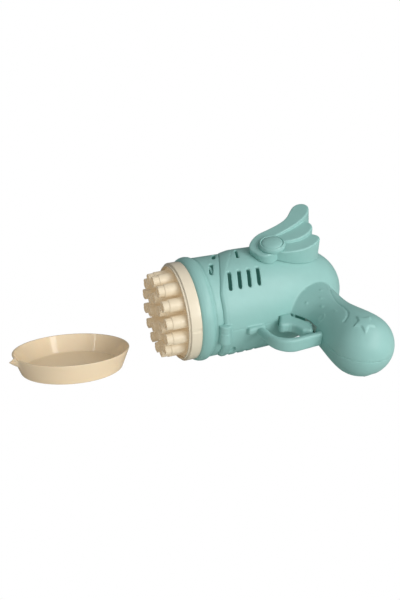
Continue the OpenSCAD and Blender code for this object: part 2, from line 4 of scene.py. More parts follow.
import bpy
import numpy as np
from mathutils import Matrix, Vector

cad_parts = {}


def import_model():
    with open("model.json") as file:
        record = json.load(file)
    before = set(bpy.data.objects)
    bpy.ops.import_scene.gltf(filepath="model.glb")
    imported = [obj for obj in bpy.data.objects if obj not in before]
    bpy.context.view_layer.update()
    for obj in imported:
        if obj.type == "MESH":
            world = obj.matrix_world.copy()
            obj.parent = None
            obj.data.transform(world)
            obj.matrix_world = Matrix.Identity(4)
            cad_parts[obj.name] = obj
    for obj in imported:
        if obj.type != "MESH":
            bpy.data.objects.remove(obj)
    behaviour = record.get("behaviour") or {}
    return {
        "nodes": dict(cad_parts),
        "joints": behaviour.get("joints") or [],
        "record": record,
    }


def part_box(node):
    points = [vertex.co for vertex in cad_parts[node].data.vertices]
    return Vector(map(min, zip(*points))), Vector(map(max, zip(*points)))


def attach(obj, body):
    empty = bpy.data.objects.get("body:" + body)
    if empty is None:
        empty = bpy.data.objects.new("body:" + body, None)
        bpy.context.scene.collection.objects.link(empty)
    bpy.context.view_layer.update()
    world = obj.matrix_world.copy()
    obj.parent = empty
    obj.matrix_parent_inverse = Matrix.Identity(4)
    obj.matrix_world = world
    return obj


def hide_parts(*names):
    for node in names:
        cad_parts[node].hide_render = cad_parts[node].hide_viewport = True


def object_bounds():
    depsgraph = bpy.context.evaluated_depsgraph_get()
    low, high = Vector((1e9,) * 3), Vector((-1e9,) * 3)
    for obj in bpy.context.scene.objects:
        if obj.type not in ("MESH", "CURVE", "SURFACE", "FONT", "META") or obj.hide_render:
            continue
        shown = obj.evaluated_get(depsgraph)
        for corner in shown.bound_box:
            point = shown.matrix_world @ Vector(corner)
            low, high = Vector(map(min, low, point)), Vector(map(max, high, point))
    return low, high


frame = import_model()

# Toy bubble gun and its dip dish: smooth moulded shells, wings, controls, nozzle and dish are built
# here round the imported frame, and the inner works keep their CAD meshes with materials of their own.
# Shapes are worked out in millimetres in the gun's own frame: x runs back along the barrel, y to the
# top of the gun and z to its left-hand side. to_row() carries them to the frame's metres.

cad_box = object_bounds()
record = frame["record"]
joints = {j["name"]: j for j in frame["joints"]}
MM = 0.001
COARSE = 1.0

# ---------------------------------------------------------------- sizes, in mm
BARREL_R = 45.2
DOME_START = 44.0
DOME_FULLNESS = 3.3
DOME_ROUND = 2.25
WALL = 2.2
COLLAR_R = 43.0
SEAM_X = 17.8
SEAM_BEND_Y = -33.5
SEAM_LEAN = 0.394
SHOULDER_DROP = 1.8
HANDLE_X = 102.6
HANDLE_RAKE = math.radians(3)
GRIP_R = 21.0
BUTT_R = 24.8
BUTT_ROUND = 24.0
ROOT_FLARE = 2.6
FRONT_FLARE = 0.42
SCREWS = ((28, -38), (57, 36), (136, -4))
BUTT_SCREW = (108.6, -113.8)
HALF_GAP = 0.03
PIVOT = (72, -36)
TRIGGER_HALF = 4.5
SLOT_HALF = 4.7
LOWER_BOSS = (18.6, -43.4)
LOWER_BOSS_R = 5.2
DOOR_TOP = 54.0
DOOR_END = 109.0
DOOR_GAP = 0.4
DOOR_HALF_ANGLE = math.radians(48)
DOOR_SCREW_S = 106.2
WING_ANCHOR = (78.0, -6.0, 49.0)
WING_SPLAY = math.radians(10)
LEADING_RISE = math.radians(14)
TRAILING_RISE = math.radians(7.4)
WING_RISE = (LEADING_RISE + TRAILING_RISE) / 2
LEADING_H, MIDDLE_H, TRAILING_H = 6.5, 5.05, 3.6
RIGHT_WING_TURN = math.radians(32)
CAP_R = 11.0
CAP_CENTRE = (-3.6, -5.0)
CAP_SEAT = 5.0
TUBE_R = 5.4
OUTER_TUBES = 14
INNER_TUBES = 7
OUTER_PITCH_R = 30.8
INNER_PITCH_R = 16.4
PLATE_X = -8.0
TUBE_TURN = 10.0


# ---------------------------------------------------------------- frames
def gun_axes():
    """Rows are the gun's x, y and z axes in the row frame, read from the record."""
    rim = next(m for m in record["mounts"] if m["name"] == "nozzle_rim")
    x = -Vector(rim["axis"]).normalized()
    z = Vector(joints["trigger_pull"]["axis"]).normalized()
    return np.array([x, z.cross(x), z], float)


GUN = gun_axes()


def to_row(points):
    """Points of the gun's frame, in mm, as points of the row frame, in metres."""
    return np.asarray(points, float) @ GUN * MM


def extent(node):
    """Lowest and highest corner of a CAD node in the gun's frame, in mm."""
    co = np.array([v.co for v in frame["nodes"][node].data.vertices], float) / MM @ GUN.T
    return co.min(0), co.max(0)


def turn(axis, angle):
    """Rotation matrix about one axis, for row vectors: points @ turn(...)."""
    c, s = math.cos(angle), math.sin(angle)
    u, v = [i for i in range(3) if i != axis]
    m = np.eye(3)
    m[u, u] = m[v, v] = c
    sign = -1 if axis == 1 else 1
    m[u, v], m[v, u] = s * sign, -s * sign
    return m


BARREL_LEN = extent("left_shell")[1][0]
HANDLE_LEN = 121.0
TIP_X = extent("bubble_head")[0][0]
RING_FRONT = extent("nozzle_ring")[0][0]
RING_R = extent("nozzle_ring")[1][2]


def wing_turn(rise):
    return turn(0, WING_SPLAY) @ turn(1, -rise)


# ---------------------------------------------------------------- outlines
def smooth(t):
    t = np.clip(t, 0, 1)
    return t * t * (3 - 2 * t)


def bezier(*p, n=12):
    """Points of a chain of cubic curves: the last point of one is the first of the next."""
    points = []
    for i in range(0, len(p) - 3, 3):
        a, b, c, d = (np.array(q, float) for q in p[i:i + 4])
        for k in range(n):
            t = k / n
            u = 1 - t
            points.append(u ** 3 * a + 3 * u * u * t * b + 3 * u * t * t * c + t ** 3 * d)
    points.append(np.array(p[-1], float))
    return points


def arc(centre, r, start, end, n=12):
    angles = np.radians(np.linspace(start, end, n + 1))
    return [np.array([centre[0] + r * math.cos(a), centre[1] + r * math.sin(a)]) for a in angles]


class Outline:
    """Distance to an outline in a plane, negative inside a closed one, kept as a table."""

    def __init__(self, points, closed=True, step=0.3, margin=5.0):
        points = np.array(points, float)
        ends = np.roll(points, -1, 0) if closed else points[1:]
        starts = points if closed else points[:-1]
        self.low = points.min(0) - margin
        self.step = step
        count = np.ceil((points.max(0) + margin - self.low) / step).astype(int) + 1
        self.last = count - 1.001
        u, v = np.meshgrid(*(self.low[i] + step * np.arange(count[i]) for i in (0, 1)), indexing="ij")
        nearest = np.full(u.shape, 1e9)
        inside = np.zeros(u.shape, bool)
        for (au, av), (bu, bv) in zip(starts, ends):
            du, dv = bu - au, bv - av
            t = np.clip(((u - au) * du + (v - av) * dv) / max(du * du + dv * dv, 1e-12), 0, 1)
            nearest = np.minimum(nearest, (u - au - t * du) ** 2 + (v - av - t * dv) ** 2)
            if closed and abs(dv) > 1e-12:
                crosses = ((av > v) != (bv > v)) & (u < au + (v - av) * du / dv)
                inside ^= crosses
        self.table = np.where(inside, -1, 1) * np.sqrt(nearest)

    def __call__(self, u, v):
        a = (u - self.low[0]) / self.step
        b = (v - self.low[1]) / self.step
        ca, cb = np.clip(a, 0, self.last[0]), np.clip(b, 0, self.last[1])
        i, j = ca.astype(int), cb.astype(int)
        fa, fb = ca - i, cb - j
        t = self.table
        inner = ((t[i, j] * (1 - fa) + t[i + 1, j] * fa) * (1 - fb)
                 + (t[i, j + 1] * (1 - fa) + t[i + 1, j + 1] * fa) * fb)
        return inner + self.step * np.hypot(a - ca, b - cb)


def mirrored(profile):
    """A profile (along, radius) closed by its mirror image, for a solid of revolution."""
    return [(x, r) for x, r in profile] + [(x, -r) for x, r in reversed(profile)]


def barrel_profile():
    xs = DOME_START + (BARREL_LEN - DOME_START) * np.sin(np.linspace(0, math.pi / 2, 40))
    t = (xs - DOME_START) / (BARREL_LEN - DOME_START)
    rs = BARREL_R * np.clip(1 - t ** DOME_FULLNESS, 0, 1) ** (1 / DOME_ROUND)
    return [(-20.0, BARREL_R)] + list(zip(xs, rs))


def handle_profile():
    ss = 10 + (HANDLE_LEN - 10) * np.sin(np.linspace(0, math.pi / 2, 70))
    centre = HANDLE_LEN - BUTT_ROUND
    grip = (GRIP_R + (BUTT_R - GRIP_R) * smooth((ss - 62) / (centre - 62))
            + ROOT_FLARE * (1 - smooth((ss - 30) / 32)))
    cap = BUTT_R * np.sqrt(np.clip(1 - ((ss - centre) / BUTT_ROUND) ** 2, 0, 1))
    return list(zip(ss, np.where(ss > centre, cap, grip)))


def star(centre, outer, inner, tilt):
    points = []
    for i in range(10):
        a = math.radians(tilt + 36 * i)
        r = inner if i % 2 else outer
        points.append((centre[0] + r * math.cos(a), centre[1] + r * math.sin(a)))
    return points


BARREL = Outline(mirrored(barrel_profile()))
HANDLE = Outline(mirrored(handle_profile()))
STAR = Outline(star((102.5, -102.5), 8.2, 4.2, 97))
GROOVE = Outline(bezier((113.5, -44), (110, -50), (105, -62), (104.5, -70),
                        (104, -78), (101, -90), (93.5, -91)), closed=False)
DOTS = ((103, -46, 1.1), (98, -54, 0.9), (94, -62, 0.9), (97, -75, 0.8), (87.5, -50, 0.8))
RING_MARK = (88.5, -70, 2.2)


# ---------------------------------------------------------------- joining solids
def union(a, b, k=0.0):
    """Both solids as one, with a fillet of about k."""
    if k <= 0:
        return np.minimum(a, b)
    h = np.maximum(k - np.abs(a - b), 0) / k
    return np.minimum(a, b) - h * h * k / 4


def common(a, b, k=0.0):
    return -union(-a, -b, k)


def cut(a, b, k=0.0):
    """a without b, with its new edge rounded."""
    return common(a, -b, k)


def capsule(u, v, a, b, r):
    """Round-ended slot between two points of a plane."""
    du, dv = b[0] - a[0], b[1] - a[1]
    t = np.clip(((u - a[0]) * du + (v - a[1]) * dv) / (du * du + dv * dv), 0, 1)
    return np.hypot(u - a[0] - t * du, v - a[1] - t * dv) - r


def block(x, y, z, low, high, r=0.0):
    """Box between two corners, with edges of radius r."""
    q = [np.abs(p - (l + h) / 2) - ((h - l) / 2 - r) for p, l, h in zip((x, y, z), low, high)]
    outside = np.sqrt(sum(np.maximum(p, 0) ** 2 for p in q))
    return outside + np.minimum(np.maximum(q[0], np.maximum(q[1], q[2])), 0) - r


# ---------------------------------------------------------------- meshing
def grid_sides(low, high, step, block_size):
    cells = [int(math.ceil((h - l) / step / block_size)) * block_size for l, h in zip(low, high)]
    return np.array(cells), np.array(low, float)


def sample(field, low, high, step, block_size=4):
    """Values of a field on a grid, filled in finely only in blocks near the surface."""
    cells, origin = grid_sides(low, high, step, block_size)
    blocks = cells // block_size
    side = block_size * step
    centres = np.meshgrid(*(origin[i] + side * (np.arange(blocks[i]) + 0.5) for i in range(3)),
                          indexing="ij")
    rough = field(*centres)
    near = np.abs(rough) < side * 1.25
    values = np.full(cells + 1, 1.0, np.float32)
    spread = rough.astype(np.float32)
    for axis in range(3):
        spread = np.repeat(spread, block_size, axis)
        near = np.repeat(near, block_size, axis)
    values[:-1, :-1, :-1] = spread
    wanted = np.zeros(cells + 1, bool)
    for dx in (0, 1):
        for dy in (0, 1):
            for dz in (0, 1):
                wanted[dx:dx + cells[0], dy:dy + cells[1], dz:dz + cells[2]] |= near
    at = np.nonzero(wanted)
    values[at] = field(*(origin[i] + step * at[i] for i in range(3)))
    return values, origin


def nets(values):
    """Surface net: a vertex in each cell that the surface crosses, a face round each crossed edge."""
    inside = values < 0
    corner = inside.astype(np.uint8)
    total = sum(corner[i:i + corner.shape[0] - 1, j:j + corner.shape[1] - 1, k:k + corner.shape[2] - 1]
                for i in (0, 1) for j in (0, 1) for k in (0, 1))
    active = (total > 0) & (total < 8)
    number = np.full(active.shape, -1, np.int64)
    cells = np.argwhere(active)
    number[active] = np.arange(len(cells))
    offset = np.zeros((len(cells), 3))
    hits = np.zeros(len(cells))
    unit = np.eye(3, dtype=int)
    for axis in range(3):
        u, v = (axis + 1) % 3, (axis + 2) % 3
        for i in (0, 1):
            for j in (0, 1):
                start = unit[u] * i + unit[v] * j
                a = values[tuple((cells + start).T)]
                b = values[tuple((cells + start + unit[axis]).T)]
                crossed = (a < 0) != (b < 0)
                t = np.where(crossed, a / np.where(crossed, a - b, 1), 0)
                offset[crossed] += start + t[crossed, None] * unit[axis]
                hits += crossed
    vertices = cells + offset / hits[:, None]
    faces = []
    for axis in range(3):
        u, v = (axis + 1) % 3, (axis + 2) % 3
        a = np.moveaxis(inside, axis, 0)[:-1]
        b = np.moveaxis(inside, axis, 0)[1:]
        points = np.argwhere(np.moveaxis(a != b, 0, axis))
        leaving = np.moveaxis(a, 0, axis)[tuple(points.T)]
        keep = (points[:, u] > 0) & (points[:, v] > 0)
        keep &= (points[:, u] < active.shape[u]) & (points[:, v] < active.shape[v])
        points, leaving = points[keep], leaving[keep]
        quads = np.stack([number[tuple((points - unit[u] * i - unit[v] * j).T)]
                          for i, j in ((1, 1), (0, 1), (0, 0), (1, 0))], 1)
        quads[~leaving] = quads[~leaving][:, ::-1]
        faces.append(quads)
    return vertices, np.concatenate(faces)


def settle(points, field, step, rounds=3):
    """Moves points onto the field's surface along its gradient."""
    e = 0.05
    for _ in range(rounds):
        x, y, z = points.T
        f = field(x, y, z)
        g = np.stack([field(x + e, y, z) - field(x - e, y, z), field(x, y + e, z) - field(x, y - e, z),
                      field(x, y, z + e) - field(x, y, z - e)], 1) / (2 * e)
        size = np.maximum((g * g).sum(1), 0.2)
        points = points - np.clip(f / size, -0.4 * step, 0.4 * step)[:, None] * g
    return points


def make_mesh(name, vertices, faces):
    """A smooth-shaded object from vertices, in row metres, and faces of one size."""
    mesh = bpy.data.meshes.new(name)
    faces = np.asarray(faces)
    corners = faces.shape[1]
    mesh.vertices.add(len(vertices))
    mesh.vertices.foreach_set("co", np.asarray(vertices, np.float32).ravel())
    mesh.loops.add(faces.size)
    mesh.loops.foreach_set("vertex_index", faces.ravel().astype(np.int32))
    mesh.polygons.add(len(faces))
    mesh.polygons.foreach_set("loop_start", np.arange(0, faces.size, corners, dtype=np.int32))
    mesh.polygons.foreach_set("use_smooth", np.ones(len(faces), bool))
    mesh.update(calc_edges=True)
    mesh.validate()
    mesh.set_sharp_from_angle(angle=math.radians(50))
    obj = bpy.data.objects.new(name, mesh)
    bpy.context.scene.collection.objects.link(obj)
    return obj


def mould(name, field, low, high, step):
    """A moulded piece: the mesh of a field's surface, in the gun's frame."""
    step *= COARSE
    values, origin = sample(field, low, high, step)
    vertices, faces = nets(values)
    points = settle(origin + vertices * step, field, step)
    return make_mesh(name, to_row(points), faces)


def revolve(name, profile, segments, place, bend=None):
    """A closed profile of (along, radius) turned about the axis, then put in place by place(points)."""
    profile = np.array(profile, float)
    angles = np.linspace(0, 2 * math.pi, segments, endpoint=False)
    along = np.repeat(profile[:, 0], segments)
    radius = np.repeat(profile[:, 1], segments)
    angle = np.tile(angles, len(profile))
    if bend:
        along, radius = bend(along, radius, angle)
    points = np.stack([along, radius * np.cos(angle), radius * np.sin(angle)], 1)
    faces = []
    rows = len(profile)
    for i in range(rows):
        j = (i + 1) % rows
        a = i * segments + np.arange(segments)
        b = j * segments + np.arange(segments)
        faces.append(np.stack([a, np.roll(a, -1), np.roll(b, -1), b], 1))
    return make_mesh(name, place(points), np.concatenate(faces))


def soften(points, r, n=4):
    """A closed profile with each corner rounded by r, or by its own radius as a third number."""
    out = []
    for i, p in enumerate(points):
        radius = p[2] if len(p) > 2 else r
        q = np.array(p[:2], float)
        a = np.array(points[i - 1][:2], float) - q
        b = np.array(points[(i + 1) % len(points)][:2], float) - q
        la, lb = np.linalg.norm(a), np.linalg.norm(b)
        half = math.acos(max(-1, min(1, a @ b / (la * lb)))) / 2
        back = min(radius / max(math.tan(half), 1e-6), la * 0.45, lb * 0.45)
        if radius <= 0 or half > 1.5:
            out.append(q)
            continue
        start, end = q + a / la * back, q + b / lb * back
        for k in range(n + 1):
            t = k / n
            out.append((1 - t) ** 2 * start + 2 * t * (1 - t) * q + t * t * end)
    return out


# ---------------------------------------------------------------- the gun's shells
def handle_place(x, y):
    """Distance down the handle and distance behind its centre line."""
    c, s = math.cos(HANDLE_RAKE), math.sin(HANDLE_RAKE)
    return (x - HANDLE_X) * s - y * c, (x - HANDLE_X) * c + y * s


def behind_seam(x, y):
    over = np.maximum(y - SEAM_BEND_Y, 0)
    return (x - SEAM_X - SEAM_LEAN * over) / math.hypot(1, SEAM_LEAN)


def barrel(x, y, z):
    return BARREL(x, np.hypot(y, z))


def shouldered_barrel(x, y, z):
    """The barrel behind the seam, which starts lower and rises to full size."""
    width = 3 + 8 * smooth((y + 38) / 50)
    behind = behind_seam(x, y)
    crease = 0.25 * smooth(1 - np.abs(behind - width) / 0.8)
    rise = np.sin(np.clip(behind / width, 0, 1) * 1.5708)
    return barrel(x, y, z) + SHOULDER_DROP * (1 - rise) + crease


def handle(x, y, z):
    s, u = handle_place(x, y)
    flare = 1 + FRONT_FLARE * (1 - smooth((s - 30) / 30))
    u = np.where(u < 0, u / flare, u)
    return HANDLE(s, np.hypot(u, z))


def relief(x, y):
    """Height of the grip's raised star, dots and ring, less the depth of its groove."""
    height = 0.95 * smooth(0.5 - STAR(x, y) / 0.8)
    for u, v, r in DOTS:
        height = np.maximum(height, 0.5 * smooth((r - np.hypot(x - u, y - v)) / 0.7 + 0.5))
    ring = np.abs(np.hypot(x - RING_MARK[0], y - RING_MARK[1]) - RING_MARK[2])
    height = np.maximum(height, 0.45 * smooth(1 - ring / 0.7))
    return height - 0.7 * smooth(1 - GROOVE(x, y) / 1.2)


def skin(x, y, z):
    """Outer surface of barrel and grip."""
    shape = union(shouldered_barrel(x, y, z), handle(x, y, z), 0.9)
    return shape - np.where((z > 4) & (y < -36), relief(x, y), 0)


def vents(x, y):
    """The row of four slots and the single short one behind the shoulder."""
    shape = np.full(np.shape(x), 50.0)
    for i in range(4):
        cx = 28.9 + 8.45 * i
        shape = np.minimum(shape, capsule(x, y, (cx + 1.65, -21.3), (cx - 1.65, -32.0), 1.45))
    return np.minimum(shape, capsule(x, y, (49.4, 7.4), (45.0, -6.0), 1.05))


def trigger_slot(x, y, z):
    in_barrel = block(x, y, z, (66, -48.5, -SLOT_HALF), (78.7, -36, SLOT_HALF), 0.3)
    in_grip = block(x, y, z, (76, -70.3, -SLOT_HALF), (88.2, -46.6, SLOT_HALF), 0.3)
    return np.minimum(in_barrel, in_grip)


def lower_boss(x, y, z):
    radial = np.hypot(x - LOWER_BOSS[0], y - LOWER_BOSS[1]) - LOWER_BOSS_R
    column = common(radial, np.abs(z + 2) - 8.5, 0.8)
    return cut(column, np.hypot(y, z) - COLLAR_R - 0.15)


def front_lug(x, y, z):
    return block(x, y, z, (37, -49.3, -5.2), (52.5, -30, 1), 1.7)


def in_door(x, y, z, grown=0.0):
    """Region of the grip's wall that the battery door takes."""
    s, u = handle_place(x, y)
    wedge = (np.abs(u) * math.cos(DOOR_HALF_ANGLE) + z * math.sin(DOOR_HALF_ANGLE)) - grown
    return np.maximum(wedge, np.abs(s - (DOOR_TOP + DOOR_END) / 2) - (DOOR_END - DOOR_TOP) / 2 - grown)


def shells(x, y, z):
    """Both shells as one hollow moulding, before they are parted."""
    outer = skin(x, y, z)
    hollow = outer + WALL
    body = cut(outer, hollow)
    pillars = np.full(np.shape(x), 50.0)
    for sx, sy in SCREWS:
        pillars = np.minimum(pillars, np.hypot(x - sx, y - sy) - 3.9)
    body = union(body, np.maximum(pillars, outer + 1), 0.6)
    body = cut(body, vents(x, y), 0.7)
    body = common(body, 0.06 - behind_seam(x, y), 0.5)
    lug = cut(front_lug(x, y, z), hollow)
    body = union(body, lug, 1.0)
    body = union(body, lower_boss(x, y, z), 0.5)
    body = cut(body, trigger_slot(x, y, z), 0.2)
    return body


def left_shell(x, y, z):
    return common(shells(x, y, z), HALF_GAP - z)


def right_shell(x, y, z):
    body = common(shells(x, y, z), z + HALF_GAP)
    for sx, sy in SCREWS + (BUTT_SCREW,):
        seat = np.maximum(np.hypot(x - sx, y - sy) - 2.8, z + 5)
        body = cut(body, np.minimum(seat, np.hypot(x - sx, y - sy) - 1.4), 0.5)
    return cut(body, in_door(x, y, z, DOOR_GAP), 0.4)


def battery_door(x, y, z):
    outer = skin(x, y, z)
    body = common(cut(outer, outer + WALL), in_door(x, y, z), 0.5)
    s, u = handle_place(x, y)
    finger = capsule(u, s, (-6, 64), (6, 64), 2.6)
    body = cut(body, np.maximum(finger, -(outer + 0.8)), 0.6)
    for i in range(3):
        rib = capsule(u, s, (-7, 70 + 3.2 * i), (7, 70 + 3.2 * i), 0.7)
        body = cut(body, np.maximum(rib, -(outer + 0.5)), 0.4)
    hole = np.hypot(u, s - DOOR_SCREW_S) - 1.35
    head = np.maximum(np.hypot(u, s - DOOR_SCREW_S) - 2.6, -(outer + 1.1))
    body = cut(body, np.minimum(np.maximum(hole, z), np.maximum(head, z)), 0.3)
    for side in (-4, 4):
        tab = block(u, z, s, (side - 2.5, -17.9, 52), (side + 2.5, -16.7, 58), 0.3)
        foot = block(u, z, s, (side - 2.5, -20.2, 54.2), (side + 2.5, -16.7, 58), 0.3)
        body = union(body, np.minimum(tab, foot), 0.3)
    return body


# ---------------------------------------------------------------- collar, guard and trigger
COLLAR = Outline(soften([(0, 40.8), (0, 42.3), (1.2, 43.5), (3.4, 44.5), (6, 44.9), (8.6, 44.5),
                         (10.6, 43.4), (11.6, 42.4, 0.2), (12.3, 42.4, 0.2), (12.8, 43, 0.3),
                         (70, 43), (70, 40.8)], 0.6), margin=4)


def front_collar(x, y, z):
    r = np.hypot(y, z)
    behind = behind_seam(x, y)
    spigot = np.maximum(behind - 3, r - 42.7)
    shape = common(COLLAR(x, r), np.minimum(behind + 0.3, spigot), 0.4)
    slot_a = capsule(x, y, (20.7, -7.3), (16.9, -16.7), 1.6)
    slot_b = capsule(x, y, (31.2, 11.5), (26.8, 2.5), 1.5)
    return cut(shape, np.maximum(np.minimum(slot_a, slot_b), 20 - np.abs(z)), 0.7)


def guard_band():
    front, radius, top, rear, band = 44.4, 18.2, -49.35, (96, -80.7), 6.0
    outer = [(front, top)] + arc((front + radius, -64), radius, 180, 268, 16) + [rear]
    inner = [(rear[0], rear[1] + band)] + arc((front + radius, -64), radius - band, 268, 180, 14)
    return outer + inner + [(front + band, top)]


GUARD = Outline(guard_band())


def trigger_guard(x, y, z):
    """A band that is narrow at its front root and widens towards its lowest part."""
    down = (-49.3 - y) / 33.7
    sides = np.maximum(z - (1 + 5.2 * down), -5.2 - down - z)
    shape = common(GUARD(x, y), sides, 3.0)
    return cut(shape, handle(x, y, z) - 0.12, 0.8)


TRIGGER = Outline([(76.5, -40), (76.9, -46.5), (79.6, -51), (82.6, -56), (84.5, -60), (84.8, -64),
                   (84, -67.2)]
                  + arc((79.2, -69), 3.4, 10, -150, 8)
                  + [(73.7, -69), (72.9, -65), (72, -61.5), (70.2, -58.8), (67.8, -57.4)]
                  + arc((64.4, -54), 2.9, 270, 150, 6) + [(63.6, -50.4), (66.4, -46), (68, -38)])


def trigger(x, y, z):
    """A finger lever with rounded edges in front, and sharper ones where it enters the grip."""
    side = np.abs(z) - TRIGGER_HALF
    from_pivot = np.hypot(x - PIVOT[0], y - PIVOT[1])
    rear = np.maximum(common(TRIGGER(x, y), side, 0.3), handle(x, y, z) - 1.2)
    shape = np.minimum(common(TRIGGER(x, y), side, 2.6), rear)
    hub = np.maximum(from_pivot - 4.5, np.abs(z + 1.75) - 2.75)
    arm = block(x, y, z, (70, -36, -3), (74.5, -23, 1), 0.4)
    shape = union(shape, np.minimum(hub, arm), 0.4)
    shape = cut(shape, np.maximum(from_pivot - 6.2, 1 - z))
    return cut(shape, from_pivot - 1.56)


# ---------------------------------------------------------------- wings
LEADING = Outline(bezier(
    (-21, 2), (-20, 7), (-12, 15.5), (-2, 16.4), (8, 17), (19, 18), (25.5, 22),
    (31.5, 25), (37, 33.5), (43, 34.5), (50, 36), (54.5, 29), (50, 22.5),
    (43, 11), (24, 7), (5.3, 5), (1.5, -2), (1.5, -7), (-1.5, -11),
    (-8, -17), (-18, -17), (-20, -6), (-20.7, -3), (-21.3, 0), (-21, 2))[:-1])
MIDDLE = Outline(bezier((1, 9), (17, 15.5), (29.5, 18), (36.5, 15), (42, 13), (43.5, 6.5), (39.3, 1),
                        (31, -6), (18, -10), (4.7, -2)))
TRAILING = Outline(bezier((-6.5, 3.5), (8, 7.6), (23, 5.4), (31.6, 1.4), (41, -3), (42, -8.5), (38, -12),
                          (28, -20), (12, -22), (-3, -12.5)))


def wing_place(x, y, z, rise, turned=0.0, mirror=1):
    """Gun coordinates as coordinates of one feather's own flat frame."""
    c, s = math.cos(turned), math.sin(turned)
    y, z = y * c + z * s, (z * c - y * s) * mirror
    px, py, pz = x - WING_ANCHOR[0], y - WING_ANCHOR[1], z - WING_ANCHOR[2]
    m = wing_turn(rise).T
    return tuple(px * m[0, i] + py * m[1, i] + pz * m[2, i] for i in range(3))


def wing_field(turned, mirror):
    def field(x, y, z):
        shape = None
        for outline, rise, top, bottom in ((LEADING, LEADING_RISE, LEADING_H, -11),
                                           (MIDDLE, WING_RISE, MIDDLE_H, -14),
                                           (TRAILING, TRAILING_RISE, TRAILING_H, -22)):
            u, v, w = wing_place(x, y, z, rise, turned, mirror)
            feather = common(outline(u, v), np.maximum(w - top, bottom - w), 1.6)
            shape = feather if shape is None else union(shape, feather, 0.6)
        u, v, w = wing_place(x, y, z, WING_RISE, turned, mirror)
        shape = cut(shape, barrel(x, y, z) - 0.6, 0.3)
        seat = np.hypot(u - CAP_CENTRE[0], v - CAP_CENTRE[1]) - CAP_R - 0.15
        return cut(shape, np.maximum(seat, CAP_SEAT - w), 0.5)
    return field


def wing_to_gun(points, turned=0.0, mirror=1):
    p = points @ wing_turn(WING_RISE) + np.array(WING_ANCHOR)
    p[:, 2] *= mirror
    return p @ turn(0, turned)


# ---------------------------------------------------------------- building the pieces
def place_on_barrel(points):
    return to_row(points)


def build(name, piece, body, material):
    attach(piece, body)
    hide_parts(name)
    piece.data.materials.clear()
    piece.data.materials.append(material)
    return piece


# ---------------------------------------------------------------- materials
def node(tree, kind, **values):
    n = tree.nodes.new(kind)
    for key, value in values.items():
        if key in n.inputs.keys():
            n.inputs[key].default_value = value
        else:
            setattr(n, key, value)
    return n


def noise(tree, scale, detail=2.0):
    """Noise in the row frame, so that a piece's grain does not depend on its mesh."""
    place = tree.nodes.new("ShaderNodeTexCoord")
    n = node(tree, "ShaderNodeTexNoise", Scale=scale, Detail=detail, Roughness=0.55)
    tree.links.new(place.outputs["Object"], n.inputs["Vector"])
    return n.outputs["Fac"]


def ramp(tree, source, low, high, a=0.35, b=0.65):
    """Colours or grey levels spread over part of a source's range."""
    r = tree.nodes.new("ShaderNodeValToRGB")
    r.color_ramp.elements[0].position, r.color_ramp.elements[1].position = a, b
    r.color_ramp.elements[0].color, r.color_ramp.elements[1].color = (*low, 1), (*high, 1)
    tree.links.new(source, r.inputs["Fac"])
    return r.outputs["Color"]


def grey(v):
    return (v, v, v)


def shade(colour, factor):
    return tuple(min(1.0, c * factor) for c in colour)


def surface(name, colour, rough=0.4, spread=0.05, grain=900.0, bump=0.04, metal=0.0, painted_glow=None,
            **more):
    """A moulded or metal surface: mottled colour, uneven roughness, fine grain, and edges made paler
    partly by wear and partly by a painted highlight.

    The glow given is painted light: a constant emission that lifts the shade, standing in for light
    scattered inside thin coloured plastic.
    """
    mat = bpy.data.materials.new(name)
    mat.use_nodes = True
    tree = mat.node_tree
    tree.nodes.clear()
    out = tree.nodes.new("ShaderNodeOutputMaterial")
    bsdf = node(tree, "ShaderNodeBsdfPrincipled", Metallic=metal, **more)
    patch = ramp(tree, noise(tree, 38, 3), shade(colour, 1 - spread), shade(colour, 1 + spread))
    # Paler edges by pointiness: partly wear, partly a painted highlight.
    edge = tree.nodes.new("ShaderNodeNewGeometry")
    paler_edge_wear_and_highlight = ramp(tree, edge.outputs["Pointiness"], grey(0), grey(0.22), 0.51, 0.6)
    mix = node(tree, "ShaderNodeMix", data_type="RGBA")
    tree.links.new(paler_edge_wear_and_highlight, mix.inputs["Factor"])
    tree.links.new(patch, mix.inputs[6])
    mix.inputs[7].default_value = (*shade(colour, 1.35), 1)
    tree.links.new(mix.outputs[2], bsdf.inputs["Base Color"])
    uneven = ramp(tree, noise(tree, 160, 4), grey(rough * 0.88), grey(rough * 1.14))
    tree.links.new(uneven, bsdf.inputs["Roughness"])
    fine = node(tree, "ShaderNodeBump", Strength=bump, Distance=0.0004)
    tree.links.new(noise(tree, grain, 3), fine.inputs["Height"])
    wavy = node(tree, "ShaderNodeBump", Strength=bump * 1.5, Distance=0.002)
    tree.links.new(noise(tree, 55, 1), wavy.inputs["Height"])
    tree.links.new(fine.outputs["Normal"], wavy.inputs["Normal"])
    tree.links.new(wavy.outputs["Normal"], bsdf.inputs["Normal"])
    # Painted glow: a constant emission that brightens shaded parts.
    if painted_glow:
        bsdf.inputs["Emission Color"].default_value = (*painted_glow, 1)
        bsdf.inputs["Emission Strength"].default_value = 1.0
    tree.links.new(bsdf.outputs["BSDF"], out.inputs["Surface"])
    return mat


def srgb(r, g, b):
    """Linear colour from 8-bit sRGB."""
    return tuple(((v / 255 + 0.055) / 1.055) ** 2.4 if v > 10 else v / 3295 for v in (r, g, b))


